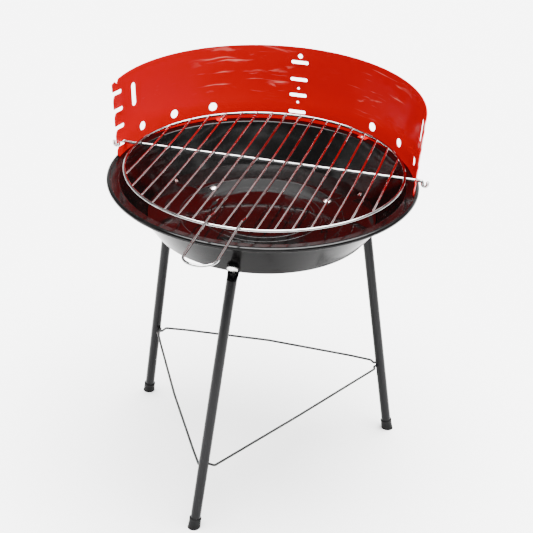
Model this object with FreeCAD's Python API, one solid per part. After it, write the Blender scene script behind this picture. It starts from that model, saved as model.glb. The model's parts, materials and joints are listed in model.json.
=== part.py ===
"""Round charcoal grill on three legs, with a half-round wind shield.

Millimetres.  +Z is up and the ground is Z = 0.  The shield stands on the +Y side and the
handle of the cooking grid points to -Y.  Everything is built round the bowl's own axis, then
moved along Y so that the origin is the middle of the footprint of the whole grill.
"""
import FreeCAD
import Part
import math
import os

V = FreeCAD.Vector
UP = V(0, 0, 1)
AXIS_FOOT = V(0, 0, 0)

# Fire bowl: one pressed sheet with a rolled bead on its rim
RIM_RADIUS = 180.0
RIM_TOP = 381.0
BEAD = 5.5
LIP_TOP = 380.0
SHEET = 1.2
BOWL_BOTTOM = 319.6
BOWL_BOTTOM_RADIUS = 125.5
WALL_TOP_RADIUS = 166.4
KNUCKLE = 8.0
LIP_BEND = 1.2
BEAD_INNER = 175.6
BEAD_LIP_GAP = 1.1

# Charcoal tray: a pressed disc held a little above the bowl's bottom
TRAY_SHEET = 1.0
TRAY_EDGE_RADIUS = 133.4
TRAY_EDGE_TOP = 334.4
TRAY_FLOOR_TOP = 331.0
TRAY_FLOOR_RADIUS = 96.0
TRAY_BOSS_RISE = 1.2
TRAY_BOSS_TOP_RADIUS = 66.0
TRAY_BOSS_FOOT_RADIUS = 69.0
TRAY_BOLT_RADIUS = 87.0
TRAY_BOLT_AZIMUTHS = (-56.0, 50.0, 177.0)
TRAY_NOTCH_RADIUS = 7.5

# Wind shield: half-round sheet, slightly wider at the top
SHIELD_SHEET = 1.0
SHIELD_BOTTOM_RADIUS = 175.3
SHIELD_TOP_RADIUS = 180.8
SHIELD_END_AZIMUTH = 92.0
SHIELD_END_TOP = 471.5
SHIELD_REAR_TOP = 474.6
SHIELD_CORNER = 8.0
NOTCH_COUNT = 4
NOTCH_PITCH = 21.1
NOTCH_LOWEST = 392.0
NOTCH_END_Y = 17.7
NOTCH_WIDTH = 5.2
NOTCH_SLOPE = 9.5
NOTCH_LIP_RADIUS = 7.0
V_NOTCH_Y = 8.5
V_NOTCH_BOTTOM = 467.0
V_NOTCH_HALF_WIDTH = 20.0
SIDE_SLOT_AZIMUTH = 75.0
SIDE_SLOT_WIDTH = 9.0
SIDE_SLOT_LOW = 427.0
SIDE_SLOT_HIGH = 456.0
VENT_AZIMUTHS = (35.3, 53.0, 70.6)
VENT_RADIUS = 5.4
VENT_HEIGHT = 397.0
REAR_SLOT_HEIGHTS = (455.6, 433.6, 413.2, 391.4)
REAR_SLOT_LENGTH = 22.0
REAR_SLOT_WIDTH = 4.5
REAR_HOLES = ((463.4, 3.0), (422.0, 1.6), (404.0, 1.6))
TAB_AZIMUTHS = (-32.0, 32.0)
TAB_WIDTH = 13.0
TAB_INNER = 166.6
TAB_SCREW_RADIUS = 170.3

# Support rod that carries the cooking grid
ROD_RADIUS = 1.9
ROD_HOOK_START = 178.9
ROD_HOOK_RADIUS = 2.9
ROD_HOOK_BOTTOM = 385.6
ROD_HOOK_TIP = 392.0
ROD_HOOK_DOWN_X = 181.8
ROD_HOOK_UP_X = 187.6

# Cooking grid
RING_WIRE = 1.7
RING_RADIUS = 159.75
RING_Y = -8.0
RING_X = 3.4
GRID_TURN = -2.1
BAR_RADIUS = 1.25
HANDLE_RADIUS = 1.5
BAR_PITCH = 17.6
BARS_EACH_SIDE = 8
GRID_CLEARANCE = 0.3
GRID_Z = NOTCH_LOWEST + ROD_RADIUS + RING_WIRE + GRID_CLEARANCE
HANDLE_REACH = 268.0
HANDLE_RISE_START = -140.0
HANDLE_RISE_END = -157.0
HANDLE_OVER_RING = 3.6
HANDLE_TIP_RISE = 3.0
HANDLE_BEND = 17.6
HANDLE_SIDE_STEP = 4.0
HANDLE_S_BEND = 12.0
HANDLE_BOW_SHARE = 0.97

# Legs
LEG_RADIUS = 6.0
LEG_BORE = 4.8
LEG_AIM_RADIUS = 135.8
LEG_AIM_HEIGHT = 321.3
LEG_TUBE_TOP = 316.5
LEG_TUBE_START = 4.5
# name, foot angle, foot radius, top angle (degrees from -Y towards +X), brace height
LEGS = (
    ("front", -8.4, 181.5, 0.6, 78.0),
    ("right", 117.3, 180.9, 128.1, 97.0),
    ("left", 245.5, 183.7, 248.0, 106.5),
)
LEG_TAB_WIDTH = 14.0
LEG_TAB_THICKNESS = 2.6
LEG_TAB_START = 6.8
LEG_SQUEEZE = 0.2
LEG_SCREW_HEIGHT = 331.5
LEG_HEAD_RADIUS = 6.0
LEG_HEAD_HEIGHT = 3.4
LEG_SHANK_RADIUS = 2.5
LEG_HOLE_RADIUS = 2.7
LEG_NUT_FLATS = 8.0
LEG_NUT_HEIGHT = 3.5
LEG_NUT_GAP = 0.12
FOOT_TOP_RADIUS = 7.1
FOOT_BOTTOM_RADIUS = 7.6
FOOT_HEIGHT = 13.0
FOOT_FLOOR = 3.9
SLOT_WIDTH = 4.2
SLOT_LENGTH = 24.0
SLOT_ABOVE = 8.0

# Braces
BRACE_RADIUS = 1.5
BRACE_SPREAD = 2.6
BRACE_LEAD = 9.0
BRACE_KINK = 12.0
BRACE_TAIL = 11.0
BRACE_TAIL_DEPTH = 2.1
BRACE_BEND = 3.0
BRACE_BOW_SHARE = 0.8
# name, first leg, second leg, bow outward of the line between the legs: first kink, middle, last kink
BRACES = (
    ("front_right", 0, 1, 6.5, 4.2, 0.5),
    ("rear", 1, 2, 1.5, 13.0, 6.5),
    ("front_left", 2, 0, 0.5, 4.5, 2.0),
)

# Small fasteners
TRAY_SHANK_RADIUS = 2.5
TRAY_HOLE_RADIUS = 2.7
TRAY_HEAD_RADIUS = 5.0
TRAY_HEAD_HEIGHT = 3.0
TRAY_SPACER_RADIUS = 5.0
TRAY_NUT_FLATS = 8.0
TRAY_NUT_HEIGHT = 3.6
TAB_SHANK_RADIUS = 1.5
TAB_HOLE_RADIUS = 1.7
TAB_HEAD_RADIUS = 2.5
TAB_HEAD_HEIGHT = 2.0
TAB_NUT_FLATS = 5.5
TAB_NUT_HEIGHT = 2.3
THREAD_GAP = 0.1
HEX_RATIO = 1.0 / math.cos(math.radians(30))

WALL_SLOPE = (WALL_TOP_RADIUS - BOWL_BOTTOM_RADIUS) / (LIP_TOP - SHEET - BOWL_BOTTOM)
WALL_ANGLE = math.atan(WALL_SLOPE)
WALL_INSET = SHEET / math.cos(WALL_ANGLE)
FAR = 60.0


def rounded_edges(points, radii, closed):
    """Straight runs between the points, with a tangent arc at each point that has a radius."""
    count = len(points)
    edges = []
    starts = []
    ends = []
    for index, point in enumerate(points):
        radius = radii[index]
        at_end = not closed and index in (0, count - 1)
        if radius == 0 or at_end:
            starts.append(point)
            ends.append(point)
            continue
        back = (points[index - 1] - point).normalize()
        ahead = (points[(index + 1) % count] - point).normalize()
        half = back.getAngle(ahead) / 2
        reach = radius / math.tan(half)
        starts.append(point + back * reach)
        ends.append(point + ahead * reach)
    for index, point in enumerate(points):
        if starts[index].distanceToPoint(ends[index]) > 1e-6:
            back = (points[index - 1] - point).normalize()
            ahead = (points[(index + 1) % count] - point).normalize()
            half = back.getAngle(ahead) / 2
            middle = (back + ahead).normalize()
            distance = radii[index] / math.sin(half) - radii[index]
            arc = Part.Arc(starts[index], point + middle * distance, ends[index])
            edges.append(arc.toShape())
        if index == count - 1 and not closed:
            break
        following = starts[(index + 1) % count]
        if ends[index].distanceToPoint(following) > 1e-6:
            edges.append(Part.makeLine(ends[index], following))
    return edges


def revolved(corners):
    """Full turn round the bowl's axis of a closed outline of (radius, height, corner radius)."""
    points = [V(radius, 0, height) for radius, height, corner in corners]
    radii = [corner for radius, height, corner in corners]
    wire = Part.Wire(rounded_edges(points, radii, True))
    return Part.Face(wire).revolve(AXIS_FOOT, UP, 360)


def bent_wire(points, radii, radius):
    """Round wire along straight runs joined by tangent bends."""
    path = Part.Wire(rounded_edges(points, radii, False))
    heading = (points[1] - points[0]).normalize()
    section = Part.Wire(Part.makeCircle(radius, points[0], heading))
    return path.makePipe(Part.Face(section))


def hexagon(centre, heading, flats, height, bore):
    """Hexagonal nut with a plain bore, standing on its centre along the heading."""
    corner = flats / 2 * HEX_RATIO
    points = []
    for step in range(7):
        angle = math.radians(30 + 60 * step)
        points.append(V(corner * math.cos(angle), corner * math.sin(angle), 0))
    body = Part.Face(Part.makePolygon(points)).extrude(V(0, 0, height))
    body = body.cut(Part.makeCylinder(bore, height, AXIS_FOOT, UP))
    body.Placement = FreeCAD.Placement(centre, FreeCAD.Rotation(UP, heading))
    return body


def round_screw(centre, heading, head_radius, head_height, shank_radius, length, slotted):
    """Domed head above its seat at the centre, with the shank running back from it."""
    edge = head_height * 0.35
    rise = head_height - edge
    dome = (head_radius ** 2 + rise ** 2) / (2 * rise)
    half = math.asin(head_radius / dome) / 2
    dome_mid = V(dome * math.sin(half), 0, head_height - dome + dome * math.cos(half))
    outline = [
        Part.makeLine(V(0, 0, 0), V(head_radius, 0, 0)),
        Part.makeLine(V(head_radius, 0, 0), V(head_radius, 0, edge)),
        Part.Arc(V(head_radius, 0, edge), dome_mid, V(0, 0, head_height)).toShape(),
        Part.makeLine(V(0, 0, head_height), V(0, 0, 0)),
    ]
    head = Part.Face(Part.Wire(outline)).revolve(AXIS_FOOT, UP, 360)
    screw = head.fuse(Part.makeCylinder(shank_radius, length, V(0, 0, 0), V(0, 0, -1)))
    if slotted:
        width = head_radius * 0.22
        slot = Part.makeBox(3 * head_radius, width, head_height)
        slot.translate(V(-1.5 * head_radius, -width / 2, head_height * 0.55))
        screw = screw.cut(slot)
    screw.Placement = FreeCAD.Placement(centre, FreeCAD.Rotation(UP, heading))
    return screw


def from_rear(azimuth, radius, height):
    """Point at an azimuth measured from +Y towards +X."""
    angle = math.radians(azimuth)
    return V(radius * math.sin(angle), radius * math.cos(angle), height)


def from_front(angle, radius, height):
    """Point at an angle measured from -Y towards +X."""
    turn = math.radians(angle)
    return V(radius * math.sin(turn), -radius * math.cos(turn), height)


def wall_radius(height):
    """Radius of the bowl wall's outer face."""
    return BOWL_BOTTOM_RADIUS + (height - BOWL_BOTTOM) * WALL_SLOPE


def wall_normal(angle):
    """Outward normal of the bowl wall at an angle from the front."""
    outward = from_front(angle, 1, 0)
    return outward * math.cos(WALL_ANGLE) - UP * math.sin(WALL_ANGLE)


def wall_rise(angle):
    """Direction up the bowl wall at an angle from the front."""
    outward = from_front(angle, 1, 0)
    return outward * math.sin(WALL_ANGLE) + UP * math.cos(WALL_ANGLE)


def leg_seat(angle):
    """Point on the bowl wall's outer face where a leg is screwed on."""
    return from_front(angle, wall_radius(LEG_SCREW_HEIGHT), LEG_SCREW_HEIGHT)


def stadium(width, height, depth):
    """Slot cutter in the XZ plane, round at its two ends, centred on the origin."""
    radius = min(width, height) / 2
    straight = max(width, height) - 2 * radius
    if width > height:
        heading = V(1, 0, 0)
    else:
        heading = UP
    cutter = Part.makeBox(width if width < height else straight, depth,
                          height if height < width else straight)
    box_x = width if width < height else straight
    box_z = height if height < width else straight
    cutter.translate(V(-box_x / 2, -depth / 2, -box_z / 2))
    for side in (-1, 1):
        centre = heading * (side * straight / 2) + V(0, -depth / 2, 0)
        cutter = cutter.fuse(Part.makeCylinder(radius, depth, centre, V(0, 1, 0)))
    return cutter


def make_bowl():
    """Pressed bowl: flat bottom, sloping wall, flat lip and a rolled bead open underneath."""
    inner_top = WALL_TOP_RADIUS + SHEET * WALL_SLOPE - WALL_INSET
    inner_bottom = BOWL_BOTTOM_RADIUS + SHEET * WALL_SLOPE - WALL_INSET
    under_lip = LIP_TOP - SHEET
    bead_bottom = RIM_TOP - BEAD
    roll = BEAD / 2 - 0.05
    inner_roll = roll - SHEET
    bowl = revolved((
        (0, BOWL_BOTTOM, 0),
        (BOWL_BOTTOM_RADIUS, BOWL_BOTTOM, KNUCKLE),
        (WALL_TOP_RADIUS, under_lip, LIP_BEND),
        (BEAD_INNER + BEAD_LIP_GAP, under_lip, 0.3),
        (BEAD_INNER + BEAD_LIP_GAP, RIM_TOP - SHEET, 0.5),
        (RIM_RADIUS - SHEET, RIM_TOP - SHEET, inner_roll),
        (RIM_RADIUS - SHEET, bead_bottom + SHEET, inner_roll),
        (BEAD_INNER + BEAD_LIP_GAP, bead_bottom + SHEET, 0),
        (BEAD_INNER + BEAD_LIP_GAP, bead_bottom, 0),
        (RIM_RADIUS, bead_bottom, roll),
        (RIM_RADIUS, RIM_TOP, roll),
        (BEAD_INNER, RIM_TOP, 0.5),
        (BEAD_INNER, LIP_TOP, 0.2),
        (inner_top, LIP_TOP, LIP_BEND + SHEET),
        (inner_bottom, BOWL_BOTTOM + SHEET, KNUCKLE - SHEET),
        (0, BOWL_BOTTOM + SHEET, 0),
    ))
    for name, foot_angle, foot_radius, top_angle, brace_height in LEGS:
        normal = wall_normal(top_angle)
        start = leg_seat(top_angle) + normal * 4
        bowl = bowl.cut(Part.makeCylinder(LEG_HOLE_RADIUS, 10, start, normal * -1))
    for azimuth in TRAY_BOLT_AZIMUTHS:
        start = from_rear(azimuth, TRAY_BOLT_RADIUS, BOWL_BOTTOM - 2)
        bowl = bowl.cut(Part.makeCylinder(TRAY_HOLE_RADIUS, 6, start, UP))
    for azimuth in TAB_AZIMUTHS:
        start = from_rear(azimuth, TAB_SCREW_RADIUS, LIP_TOP - SHEET - 1)
        bowl = bowl.cut(Part.makeCylinder(TAB_HOLE_RADIUS, 4, start, UP))
    return bowl


def make_tray():
    """Pressed disc: sloping edge, flat floor with bolt holes and a low raised middle."""
    top = TRAY_FLOOR_TOP
    tray = revolved((
        (0, top + TRAY_BOSS_RISE - TRAY_SHEET, 0),
        (TRAY_BOSS_TOP_RADIUS, top + TRAY_BOSS_RISE - TRAY_SHEET, 3.0),
        (TRAY_BOSS_FOOT_RADIUS, top - TRAY_SHEET, 4.0),
        (TRAY_FLOOR_RADIUS, top - TRAY_SHEET, 30.0),
        (TRAY_EDGE_RADIUS - 0.6, TRAY_EDGE_TOP - TRAY_SHEET, 0),
        (TRAY_EDGE_RADIUS, TRAY_EDGE_TOP, 0),
        (TRAY_FLOOR_RADIUS, top, 29.0),
        (TRAY_BOSS_FOOT_RADIUS, top, 3.0),
        (TRAY_BOSS_TOP_RADIUS, top + TRAY_BOSS_RISE, 4.0),
        (0, top + TRAY_BOSS_RISE, 0),
    ))
    for name, foot_angle, foot_radius, top_angle, brace_height in LEGS:
        start = from_front(top_angle, TRAY_EDGE_RADIUS, TRAY_FLOOR_TOP - 5)
        tray = tray.cut(Part.makeCylinder(TRAY_NOTCH_RADIUS, 20, start, UP))
    for azimuth in TRAY_BOLT_AZIMUTHS:
        start = from_rear(azimuth, TRAY_BOLT_RADIUS, TRAY_FLOOR_TOP - 5)
        tray = tray.cut(Part.makeCylinder(TRAY_HOLE_RADIUS, 10, start, UP))
    return tray


def radial_cut(sheet, cutter, azimuth, height):
    """Cut a shape drawn in the XZ plane through the shield at an azimuth."""
    tool = cutter.copy()
    tool.translate(V(0, SHIELD_TOP_RADIUS - 5, height))
    tool.rotate(AXIS_FOOT, UP, -azimuth)
    return sheet.cut(tool)


def make_shield():
    """Half-round sheet with grid notches at both ends, vents, a rear slot column and two tabs."""
    tall = SHIELD_REAR_TOP + 10
    flare = (SHIELD_TOP_RADIUS - SHIELD_BOTTOM_RADIUS) / (SHIELD_REAR_TOP - LIP_TOP)
    top_radius = SHIELD_BOTTOM_RADIUS + flare * (tall - LIP_TOP)
    outline = Part.makePolygon([
        V(SHIELD_BOTTOM_RADIUS - SHIELD_SHEET, 0, LIP_TOP),
        V(SHIELD_BOTTOM_RADIUS, 0, LIP_TOP),
        V(top_radius, 0, tall),
        V(top_radius - SHIELD_SHEET, 0, tall),
        V(SHIELD_BOTTOM_RADIUS - SHIELD_SHEET, 0, LIP_TOP),
    ])
    face = Part.Face(outline)
    face.rotate(AXIS_FOOT, UP, 90 - SHIELD_END_AZIMUTH)
    shield = face.revolve(AXIS_FOOT, UP, 2 * SHIELD_END_AZIMUTH)
    above = Part.makeBox(600, 600, 60, V(-300, -300, 0))
    tilt = math.degrees(math.atan((SHIELD_REAR_TOP - SHIELD_END_TOP) / SHIELD_TOP_RADIUS))
    above.rotate(AXIS_FOOT, V(1, 0, 0), tilt)
    above.translate(V(0, 0, SHIELD_END_TOP))
    shield = shield.cut(above)

    slope = math.radians(NOTCH_SLOPE)
    end_y = -SHIELD_BOTTOM_RADIUS * math.sin(math.radians(SHIELD_END_AZIMUTH - 90))
    lip_y = end_y + NOTCH_LIP_RADIUS
    lip_drop = (lip_y - NOTCH_END_Y) * math.tan(slope) + (NOTCH_WIDTH / 2 + NOTCH_LIP_RADIUS) / math.cos(slope)
    lip_width = NOTCH_LIP_RADIUS * (1 + math.sin(slope))
    lip_height = NOTCH_LIP_RADIUS + NOTCH_WIDTH / 2
    for side in (-1, 1):
        for step in range(NOTCH_COUNT):
            seat = V(side * (SHIELD_BOTTOM_RADIUS - 20), NOTCH_END_Y, NOTCH_LOWEST + step * NOTCH_PITCH)
            shield = shield.cut(Part.makeCylinder(NOTCH_WIDTH / 2, 40, seat, V(side, 0, 0)))
            lane = Part.makeBox(40, 50, NOTCH_WIDTH, V(0, -50, -NOTCH_WIDTH / 2))
            lane.rotate(AXIS_FOOT, V(1, 0, 0), -NOTCH_SLOPE)
            lane.translate(V(min(seat.x, seat.x + side * 40), seat.y, seat.z))
            shield = shield.cut(lane)
            lip_foot = V(min(seat.x, seat.x + side * 40), end_y - 1, seat.z - lip_drop)
            corner = Part.makeBox(40, lip_width + 1, lip_height, lip_foot)
            roll = V(lip_foot.x - 5, lip_y, lip_foot.z)
            corner = corner.cut(Part.makeCylinder(NOTCH_LIP_RADIUS, 50, roll, V(1, 0, 0)))
            shield = shield.cut(corner)
        wedge_points = [
            V(0, V_NOTCH_Y, V_NOTCH_BOTTOM),
            V(0, V_NOTCH_Y + V_NOTCH_HALF_WIDTH, tall),
            V(0, V_NOTCH_Y - V_NOTCH_HALF_WIDTH, tall),
            V(0, V_NOTCH_Y, V_NOTCH_BOTTOM),
        ]
        wedge = Part.Face(Part.makePolygon(wedge_points)).extrude(V(side * 200, 0, 0))
        shield = shield.cut(wedge)
        block = Part.makeBox(60, SHIELD_CORNER + 1, SHIELD_CORNER, V(140, end_y - 1, LIP_TOP))
        arc_foot = V(140, end_y + SHIELD_CORNER, LIP_TOP + SHIELD_CORNER)
        block = block.cut(Part.makeCylinder(SHIELD_CORNER, 60, arc_foot, V(1, 0, 0)))
        if side < 0:
            block = block.mirror(AXIS_FOOT, V(1, 0, 0))
        shield = shield.cut(block)
        slot_height = SIDE_SLOT_HIGH - SIDE_SLOT_LOW
        slot = stadium(SIDE_SLOT_WIDTH, slot_height, 20)
        shield = radial_cut(shield, slot, side * SIDE_SLOT_AZIMUTH, SIDE_SLOT_LOW + slot_height / 2)
        vent = Part.makeCylinder(VENT_RADIUS, 20, V(0, -10, 0), V(0, 1, 0))
        for azimuth in VENT_AZIMUTHS:
            shield = radial_cut(shield, vent, side * azimuth, VENT_HEIGHT)
    rear_slot = stadium(REAR_SLOT_LENGTH, REAR_SLOT_WIDTH, 20)
    for height in REAR_SLOT_HEIGHTS:
        shield = radial_cut(shield, rear_slot, 0, height)
    for height, radius in REAR_HOLES:
        hole = Part.makeCylinder(radius, 20, V(0, -10, 0), V(0, 1, 0))
        shield = radial_cut(shield, hole, 0, height)

    inner = SHIELD_BOTTOM_RADIUS - SHIELD_SHEET
    for azimuth in TAB_AZIMUTHS:
        length = inner + SHIELD_SHEET / 2 - TAB_INNER
        tab = Part.makeBox(TAB_WIDTH, length, SHIELD_SHEET, V(-TAB_WIDTH / 2, TAB_INNER, LIP_TOP))
        hole_foot = V(0, TAB_SCREW_RADIUS, LIP_TOP - 1)
        tab = tab.cut(Part.makeCylinder(TAB_HOLE_RADIUS, 4, hole_foot, UP))
        tab.rotate(AXIS_FOOT, UP, -azimuth)
        shield = shield.fuse(tab)
    return shield.removeSplitter()


def make_rod():
    """Straight rod across the shield's notches, with an open hook outside each end."""
    points = [
        V(ROD_HOOK_UP_X, NOTCH_END_Y, ROD_HOOK_TIP),
        V(ROD_HOOK_UP_X, NOTCH_END_Y, ROD_HOOK_BOTTOM),
        V(ROD_HOOK_DOWN_X, NOTCH_END_Y, ROD_HOOK_BOTTOM),
        V(ROD_HOOK_DOWN_X, NOTCH_END_Y, NOTCH_LOWEST),
    ]
    mirrored = [V(-point.x, point.y, point.z) for point in reversed(points)]
    bend = ROD_HOOK_RADIUS
    return bent_wire(points + mirrored, [0, bend, bend, bend, bend, bend, bend, 0], ROD_RADIUS)


def grid_chord(x):
    """Half length of the ring along the bars at a distance X from its middle."""
    return math.sqrt(RING_RADIUS ** 2 - x ** 2)


def turned_grid(shape):
    """A piece drawn round the ring's middle, put in place with the grid's small turn."""
    shape.rotate(AXIS_FOOT, UP, GRID_TURN)
    shape.translate(V(RING_X, RING_Y, GRID_Z))
    return shape


def handle_bow_centre():
    """Middle of the handle's round bow, before the grid is turned."""
    return V(HANDLE_SIDE_STEP, HANDLE_RADIUS + HANDLE_BEND - HANDLE_REACH - RING_Y, 0)


def footprint_shift():
    """Distance along Y that puts the footprint's middle on the origin."""
    bow = FreeCAD.Rotation(UP, GRID_TURN).multVec(handle_bow_centre())
    front = RING_Y + bow.y - HANDLE_BEND - HANDLE_RADIUS
    return -(front + SHIELD_TOP_RADIUS) / 2


def make_handle():
    """Two long bars of the grid that run over the ring and join in a round bow."""
    bow = handle_bow_centre()
    points = []
    for side in (-1, 1):
        x = side * BAR_PITCH
        points.append([
            V(x, grid_chord(x), 0),
            V(x, HANDLE_RISE_START - RING_Y, 0),
            V(x, HANDLE_RISE_END - RING_Y, HANDLE_OVER_RING),
            V(x + bow.x, bow.y - HANDLE_BEND, HANDLE_OVER_RING + HANDLE_TIP_RISE),
        ])
    bends = [0, HANDLE_S_BEND, HANDLE_S_BEND, HANDLE_BEND * HANDLE_BOW_SHARE]
    path = points[0] + list(reversed(points[1]))
    return bent_wire(path, bends + list(reversed(bends)), HANDLE_RADIUS)


def leg_line(foot_angle, foot_radius, top_angle):
    """Foot point on the ground and unit direction of a leg's axis."""
    foot = from_front(foot_angle, foot_radius, 0)
    aim = from_front(top_angle, LEG_AIM_RADIUS, LEG_AIM_HEIGHT)
    return foot, (aim - foot).normalize()


def point_at_height(foot, heading, height):
    return foot + heading * (height / heading.z)


def oval(centre, across, through, half_width, half_depth):
    """Closed elliptic section."""
    curve = Part.Ellipse(centre + across * half_width, centre + through * half_depth, centre)
    return Part.Wire(curve.toShape())


def make_leg(foot_angle, foot_radius, top_angle, brace_height):
    """Tube whose top is pressed flat and bent to lie on the bowl's wall, with a brace slot."""
    foot, heading = leg_line(foot_angle, foot_radius, top_angle)
    start = foot + heading * LEG_TUBE_START
    shoulder = point_at_height(foot, heading, LEG_TUBE_TOP)
    length = start.distanceToPoint(shoulder)
    leg = Part.makeCylinder(LEG_RADIUS, length, start, heading)
    normal = wall_normal(top_angle)
    rise = wall_rise(top_angle)
    across = normal.cross(rise).normalize()
    seat = leg_seat(top_angle) + normal * (LEG_TAB_THICKNESS / 2)
    tab_foot = seat - rise * LEG_TAB_START
    flat = oval(tab_foot, across, normal, LEG_TAB_WIDTH / 2 - LEG_SQUEEZE,
                LEG_TAB_THICKNESS / 2 - LEG_SQUEEZE / 2)
    through = heading.cross(across).normalize() * -1
    if through.dot(normal) < 0:
        through = through * -1
    level_across = through.cross(heading).normalize()
    if level_across.dot(across) < 0:
        level_across = level_across * -1
    round_end = oval(shoulder, level_across, through, LEG_RADIUS - LEG_SQUEEZE / 2,
                     LEG_RADIUS - LEG_SQUEEZE)
    leg = leg.fuse(Part.makeLoft([round_end, flat], True, False))
    plate = Part.makeBox(LEG_TAB_WIDTH, LEG_TAB_THICKNESS, LEG_TAB_START)
    plate.translate(V(-LEG_TAB_WIDTH / 2, -LEG_TAB_THICKNESS / 2, -LEG_TAB_START))
    end_foot = V(0, -LEG_TAB_THICKNESS / 2, 0)
    plate = plate.fuse(Part.makeCylinder(LEG_TAB_WIDTH / 2, LEG_TAB_THICKNESS, end_foot, V(0, 1, 0)))
    plate.Placement = FreeCAD.Placement(seat, FreeCAD.Rotation(across, normal, rise, "ZXY"))
    leg = leg.fuse(plate)
    leg = leg.cut(Part.makeCylinder(LEG_HOLE_RADIUS, 20, seat - normal * 10, normal))
    leg = leg.cut(Part.makeCylinder(LEG_BORE, length - 8, start, heading))
    middle = point_at_height(foot, heading, brace_height + SLOT_ABOVE - SLOT_LENGTH / 2)
    inward = V(-middle.x, -middle.y, 0).normalize()
    inward = (inward - heading * inward.dot(heading)).normalize()
    side = inward.cross(heading).normalize()
    slot = Part.makeBox(SLOT_WIDTH, LEG_RADIUS + 2, SLOT_LENGTH - SLOT_WIDTH)
    slot.translate(V(-SLOT_WIDTH / 2, 0, -(SLOT_LENGTH - SLOT_WIDTH) / 2))
    for end in (-1, 1):
        centre = V(0, 0, end * (SLOT_LENGTH - SLOT_WIDTH) / 2)
        slot = slot.fuse(Part.makeCylinder(SLOT_WIDTH / 2, LEG_RADIUS + 2, centre, V(0, 1, 0)))
    slot.Placement = FreeCAD.Placement(middle, FreeCAD.Rotation(side, inward, heading, "ZXY"))
    return leg.cut(slot).removeSplitter()


def make_foot(foot_angle, foot_radius, top_angle):
    """Push-on cap on a leg's lower end, flat on the ground."""
    foot, heading = leg_line(foot_angle, foot_radius, top_angle)
    below = foot - heading * 5
    cap = Part.makeCone(FOOT_BOTTOM_RADIUS, FOOT_TOP_RADIUS, FOOT_HEIGHT + 5, below, heading)
    bore_foot = foot + heading * FOOT_FLOOR
    cap = cap.cut(Part.makeCylinder(LEG_RADIUS + THREAD_GAP, FAR, bore_foot, heading))
    ground = Part.makeBox(FAR, FAR, FAR, V(foot.x - FAR / 2, foot.y - FAR / 2, -FAR))
    return cap.cut(ground)


def brace_end(leg, lift, depth):
    """Tail end, inner corner and outer corner of a brace at a leg."""
    name, foot_angle, foot_radius, top_angle, brace_height = leg
    foot, heading = leg_line(foot_angle, foot_radius, top_angle)
    axis_point = point_at_height(foot, heading, brace_height + lift)
    inward = V(-axis_point.x, -axis_point.y, 0).normalize()
    corner = axis_point + inward * depth
    tail = corner - heading * BRACE_TAIL
    return tail, corner, axis_point + inward * BRACE_LEAD


def make_brace(first, second, first_bow, middle_bow, last_bow):
    """Bowed wire between two legs: both ends kink into the slots and hook down inside the tubes."""
    near = list(brace_end(first, BRACE_SPREAD, -BRACE_TAIL_DEPTH))
    far = list(reversed(brace_end(second, -BRACE_SPREAD, BRACE_TAIL_DEPTH)))
    near_axis = near[1] + (near[1] - near[2]).normalize() * -BRACE_TAIL_DEPTH
    far_axis = far[1] + (far[0] - far[1]).normalize() * -BRACE_TAIL_DEPTH
    along = far_axis - near_axis
    span = along.Length
    along = along.normalize()
    outward = along.cross(UP).normalize()
    first_kink = near_axis + along * BRACE_KINK + outward * first_bow
    last_kink = far_axis - along * BRACE_KINK + outward * last_bow
    rise = middle_bow - (first_bow + last_bow) / 2
    lift = rise / (1 - BRACE_BOW_SHARE / 2)
    apex = (first_kink + last_kink) * 0.5 + outward * lift
    half = (first_kink - apex).getAngle(last_kink - apex) / 2
    bow = BRACE_BOW_SHARE * (span / 2 - BRACE_KINK) * math.tan(half)
    points = near + [first_kink, apex, last_kink] + far
    bends = [0, BRACE_BEND, BRACE_BEND, BRACE_BEND, bow, BRACE_BEND, BRACE_BEND, BRACE_BEND, 0]
    return bent_wire(points, bends, BRACE_RADIUS)


def group(solids):
    return Part.makeCompound(solids)


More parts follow.
